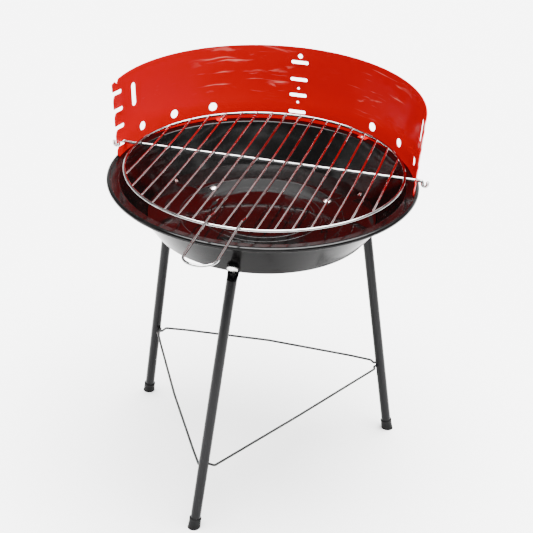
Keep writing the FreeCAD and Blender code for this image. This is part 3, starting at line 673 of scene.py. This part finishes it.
def make_tab(turn):
    """Tab bent inward off the shield's foot, with a small round at the bend."""
    path = [(174.8, LIP + 7), (174.8, LIP + 2.2), (174.4, LIP + 1.1), (173.3, LIP + 0.55), (168.3, LIP + 0.5),
            (167.1, LIP + 0.5)]
    half = [TAB_HALF] * 5 + [5.6]
    points = []
    c, s = math.cos(turn), math.sin(turn)
    for i, (r, z) in enumerate(path):
        a, b = path[max(0, i - 1)], path[min(len(path) - 1, i + 1)]
        dr, dz = b[0] - a[0], b[1] - a[1]
        size = math.hypot(dr, dz)
        nr, nz = dz / size * TAB_HALF_SHEET, -dr / size * TAB_HALF_SHEET
        for side, sheet in ((-1, -1), (1, -1), (1, 1), (-1, 1)):
            rr, zz, t = r + nr * sheet, z + nz * sheet, half[i] * side
            points.append((rr * s + t * c, rr * c - t * s, zz))
    faces = []
    for i in range(len(path) - 1):
        for k in range(4):
            l = (k + 1) % 4
            faces.append((4 * i + k, 4 * i + l, 4 * i + 4 + l, 4 * i + 4 + k))
    end = 4 * (len(path) - 1)
    faces += [(3, 2, 1, 0), (end, end + 1, end + 2, end + 3)]
    return points, faces


shield = merge([make_shield(), make_tab(-TAB_TURN), make_tab(TAB_TURN)])
piece("shield_enamelled", *shield, ("wind_shield",))


# ---------------------------------------------------------------- support rod
ROD = 1.9
HOOK_OUT, HOOK_IN, HOOK_LOW, HOOK_BEND = 187.6, 181.8, 385.6, 2.9
hook = [Vector((HOOK_OUT, ROD_Y, NOTCH)), Vector((HOOK_OUT, ROD_Y, HOOK_LOW)),
        Vector((HOOK_IN, ROD_Y, HOOK_LOW)), Vector((HOOK_IN, ROD_Y, NOTCH))]
hook += [Vector((-p.x, p.y, p.z)) for p in reversed(hook)]
rod = tube(smooth_path(hook, [0] + [HOOK_BEND] * 6 + [0], 8.0), ROD, 18)
# The rod wears the grid's chrome darkened as painted shade.
piece("rod_plated", *rod, ("support_rod",), SHADED_RING_CHROME)


# ---------------------------------------------------------------- cooking grid
RING, RING_WIRE, BAR, HANDLE, PITCH = 159.75, 1.7, 1.25, 1.5, 17.6
GRID_AT = Vector((3.4, -8.0, NOTCH + ROD + RING_WIRE + 0.3))
GRID_TURN = Matrix.Rotation(math.radians(-2.1), 3, "Z")


def on_grid(p):
    return GRID_TURN @ Vector(p) + GRID_AT


ring_path = []
for k in range(180):
    angle = 2 * math.pi * k / 180
    ring_path.append(on_grid((RING * math.cos(angle), RING * math.sin(angle), 0)))
# The ring wears the grid's chrome darkened as painted shade.
piece("grid_ring_plated", *tube(ring_path, RING_WIRE, 16, True), ("grid_ring",), SHADED_RING_CHROME)

# The two bars beside the middle belong to the handle's wire.
number = 0
for step in range(-8, 9):
    if abs(step) == 1:
        continue
    number += 1
    x = step * PITCH
    half = math.sqrt(RING ** 2 - x ** 2)
    bow = (2.4 + chance.uniform(-0.9, 0.9)) * (half / RING)
    path = []
    swell = []
    parts = 56
    for k in range(parts + 1):
        share = k / parts
        y = -half + 2 * half * share
        side = bow * math.sin(math.pi * share) ** 0.9
        path.append(on_grid((x + side, y, 0)))
        edge = min(share, 1 - share) * 2 * half
        swell.append(BAR + 0.35 * math.exp(-(edge / 2.2) ** 2))
    piece("grid_bar_plated_%02d" % number, *tube(path, BAR, 12, False, swell), ("grid_bar_%02d" % number,))

REACH, STEP_SIDE = 268.0, 4.0
bow_y = HANDLE + PITCH - REACH + 8.0
rails = []
for side in (-1, 1):
    x = side * PITCH
    rails.append([(x, math.sqrt(RING ** 2 - x ** 2), 0), (x + 2.2, 10, 0), (x, -132, 0), (x, -149, 3.6),
                  (x + STEP_SIDE, bow_y - PITCH, 6.6)])
corners = [on_grid(p) for p in rails[0]] + [on_grid(p) for p in reversed(rails[1])]
bends = [0, 2600, 12, 12, PITCH * 0.97]
handle = tube(smooth_path(corners, bends + list(reversed(bends)), 5.0), HANDLE, 14)
# The handle wears the grid's chrome darkened as painted shade.
piece("grid_handle_plated", *handle, ("grid_handle",), SHADED_HANDLE_CHROME)


# ---------------------------------------------------------------- feet and braces
# foot angle, foot radius, top angle (degrees from the front), height of the braces
LEGS = ((-8.4, 181.5, 0.6, 78.0), (117.3, 180.9, 128.1, 97.0), (245.5, 183.7, 248.0, 106.5))


def from_front(angle, radius, height):
    turn = math.radians(angle)
    return Vector((radius * math.sin(turn), -radius * math.cos(turn), height))


def leg_line(leg):
    """Where a leg's axis meets the ground, and its direction upward."""
    foot = from_front(leg[0], leg[1], 0)
    return foot, (from_front(leg[2], 135.8, 321.3) - foot).normalized()


def make_foot(leg):
    """Push-on rubber cap: flared foot, soft lip round its mouth, flat on the ground."""
    foot, heading = leg_line(leg)
    outline = [(0, -4, 0), (7.5, -4, 0), (7.45, 0.4, 0.2), (7.3, 2.6, 1.0), (6.9, 10.6, 2.0),
               (7.25, 11.6, 0.5), (7.2, 13, 0.6), (6.15, 13, 0.3), (6.1, 3.9, 0), (0, 3.9, 0)]
    flat = rounded([Vector((r, 0, h)) for r, h, c in outline], [c for r, h, c in outline], True, 15)
    u = heading.orthogonal().normalized()
    v = heading.cross(u)
    points = []
    sides = 40
    for t in range(sides):
        angle = 2 * math.pi * t / sides
        out = u * math.cos(angle) + v * math.sin(angle)
        for p in flat:
            spot = foot + out * p.x + heading * p.z
            spot.z = max(0.0, spot.z)
            points.append(spot)
    n = len(flat)
    faces = []
    for t in range(sides):
        w = (t + 1) % sides
        for i in range(n):
            j = (i + 1) % n
            if flat[i].x > ON_AXIS or flat[j].x > ON_AXIS:
                faces.append((t * n + i, t * n + j, w * n + j, w * n + i))
    return points, faces


for leg, side in zip(LEGS, ("front", "right", "left")):
    piece("foot_" + side, *make_foot(leg), ("foot_cap_" + side,))


BRACE_WIRE, BRACE_BEND, BRACE_KINK, BRACE_LIFT, BRACE_DEPTH = 1.5, 3, 12, 2.6, 2.1


def brace_end(leg, lift, depth):
    """Tail, corner and mouth of the hook that goes into a leg."""
    foot, heading = leg_line(leg)
    axis = foot + heading * ((leg[3] + lift) / heading.z)
    inward = Vector((-axis.x, -axis.y, 0)).normalized()
    corner = axis + inward * depth
    return [corner - heading * 11.0, corner, axis + inward * 9.0]


def make_brace(first, second, first_bow, middle_bow, last_bow):
    """Bowed wire between two legs, kinked near each and hooked into it."""
    near = brace_end(LEGS[first], BRACE_LIFT, -BRACE_DEPTH)
    far = list(reversed(brace_end(LEGS[second], -BRACE_LIFT, BRACE_DEPTH)))
    near_axis = near[1] - (near[1] - near[2]).normalized() * BRACE_DEPTH
    far_axis = far[1] - (far[0] - far[1]).normalized() * BRACE_DEPTH
    along = far_axis - near_axis
    span = along.length
    along = along.normalized()
    outward = along.cross(Vector((0, 0, 1))).normalized()
    first_kink = near_axis + along * BRACE_KINK + outward * first_bow
    last_kink = far_axis - along * BRACE_KINK + outward * last_bow
    lift = (middle_bow - (first_bow + last_bow) / 2) / 0.6
    apex = (first_kink + last_kink) * 0.5 + outward * lift
    half = (first_kink - apex).angle(last_kink - apex) / 2
    bow = 0.8 * (span / 2 - BRACE_KINK) * math.tan(half)
    points = near + [first_kink, apex, last_kink] + far
    bends = [0] + [BRACE_BEND] * 3 + [bow] + [BRACE_BEND] * 3 + [0]
    return tube(smooth_path(points, bends, 6.0), BRACE_WIRE, 12)


# The two legs, then how far the wire stands outward at its first kink, its middle and its last kink.
for name, numbers in (("front_right", (0, 1, 6.5, 4.2, 0.5)), ("rear", (1, 2, 1.5, 13.0, 6.5)),
                      ("front_left", (2, 0, 0.5, 4.5, 2.0))):
    piece("brace_wire_" + name, *make_brace(*numbers), ("brace_" + name,))


# ---------------------------------------------------------------- camera
LENS = 89.05
AIM_AZIMUTH = math.radians(13.15)
AIM_ELEVATION = math.radians(25.02)
AIM_HEIGHT = 0.38128
AIM_DISTANCE = 1.52496
YAW = math.radians(0.285)
PITCH_DOWN = math.radians(-3.964)
ROLL = math.radians(2.081)

ca, sa = math.cos(AIM_AZIMUTH), math.sin(AIM_AZIMUTH)
ce, se = math.cos(AIM_ELEVATION), math.sin(AIM_ELEVATION)
back0 = Vector((sa * ce, -ca * ce, se))
right0 = Vector((ca, sa, 0))
up0 = back0.cross(right0)
right = right0 * math.cos(YAW) + back0 * math.sin(YAW)
back = back0 * math.cos(YAW) - right0 * math.sin(YAW)
up = up0 * math.cos(PITCH_DOWN) + back * math.sin(PITCH_DOWN)
back = back * math.cos(PITCH_DOWN) - up0 * math.sin(PITCH_DOWN)
axis_x = right * math.cos(ROLL) + up * math.sin(ROLL)
axis_y = up * math.cos(ROLL) - right * math.sin(ROLL)

camera_data = bpy.data.cameras.new("camera")
camera_data.lens = LENS
camera_data.sensor_width = 36.0
camera = bpy.data.objects.new("camera", camera_data)
bpy.context.scene.collection.objects.link(camera)
turn = Matrix((axis_x, axis_y, back)).transposed().to_4x4()
camera.matrix_world = Matrix.Translation(AXIS + Vector((0, 0, AIM_HEIGHT)) + back0 * AIM_DISTANCE) @ turn
bpy.context.scene.camera = camera


# ---------------------------------------------------------------- floor and light
# The paper is pale inside an ellipse and fades to grey beyond it, so that little light comes off it.
LIT_X, LIT_BEHIND, LIT_WIDE, LIT_DEEP = -0.30, 0.85, 1.20, 1.55
floor_mesh = bpy.data.meshes.new("floor")
reach = 7.0
floor_mesh.from_pydata([(-reach, -reach, 0), (reach, -reach, 0), (reach, reach, 0), (-reach, reach, 0)],
                       [], [(0, 1, 2, 3)])
floor = bpy.data.objects.new("floor", floor_mesh)
bpy.context.scene.collection.objects.link(floor)
paper = Shader("paper")
px, py, _ = paper.parts(paper.place())
px = paper.maths("DIVIDE", paper.maths("SUBTRACT", px, LIT_X), LIT_WIDE)
py = paper.maths("DIVIDE", paper.maths("SUBTRACT", py, AXIS.y + LIT_BEHIND), LIT_DEEP)
square = paper.maths("ADD", paper.maths("MULTIPLY", px, px), paper.maths("MULTIPLY", py, py))
out = paper.maths("SQRT", square)
fade = paper.band(out, 1.0, 1.35)
paper.set(Base_Color=paper.mix(fade, (0.94, 0.94, 0.94), (0.16, 0.16, 0.16)), Roughness=0.8,
          Specular_IOR_Level=0.1)
floor_mesh.materials.append(paper.mat)

world = bpy.data.worlds.new("studio")
bpy.context.scene.world = world
world.use_nodes = True
background = world.node_tree.nodes["Background"]
background.inputs[0].default_value = (1, 1, 1, 1)
background.inputs[1].default_value = 0.35


def aimed(obj, place, aim):
    """A light at a place, its face towards the aim."""
    obj.location = place
    obj.rotation_mode = "QUATERNION"
    obj.rotation_quaternion = (Vector(aim) - Vector(place)).to_track_quat("-Z", "Y")
    bpy.context.scene.collection.objects.link(obj)


def softbox(name, place, aim, width, height, radiance):
    """Lit rectangle of an even radiance."""
    light = bpy.data.lights.new(name, "AREA")
    light.shape = "RECTANGLE"
    light.size = width
    light.size_y = height
    light.energy = radiance * math.pi * width * height
    aimed(bpy.data.objects.new(name, light), place, aim)


def overhead(name, place, strength, spread):
    """Broad even light from far above."""
    light = bpy.data.lights.new(name, "SUN")
    light.energy = strength
    light.angle = math.radians(spread)
    aimed(bpy.data.objects.new(name, light), place, (0, 0, 0))


# The overhead light does most of the work; the boxes give the enamel something to reflect.
overhead("overhead", (0.3, 0.2, 4.0), 22.0, 72)
softbox("rear_high", (0.9, 1.7, 2.3), (0, 0, 0.35), 0.8, 0.6, 3.5)
softbox("rear_low", (0.0, 3.2, 1.0), (0, 0, 0.6), 6.0, 1.5, 1.5)
softbox("front", (0.5, -3.4, 1.3), (0, 0, 0.4), 2.6, 0.7, 4.0)
softbox("left_strip", (-2.0, -0.55, 1.1), (0, 0, 0.35), 0.30, 1.3, 3.0)
softbox("right_strip", (1.9, -0.1, 1.4), (0, 0, 0.35), 0.30, 0.9, 5.0)
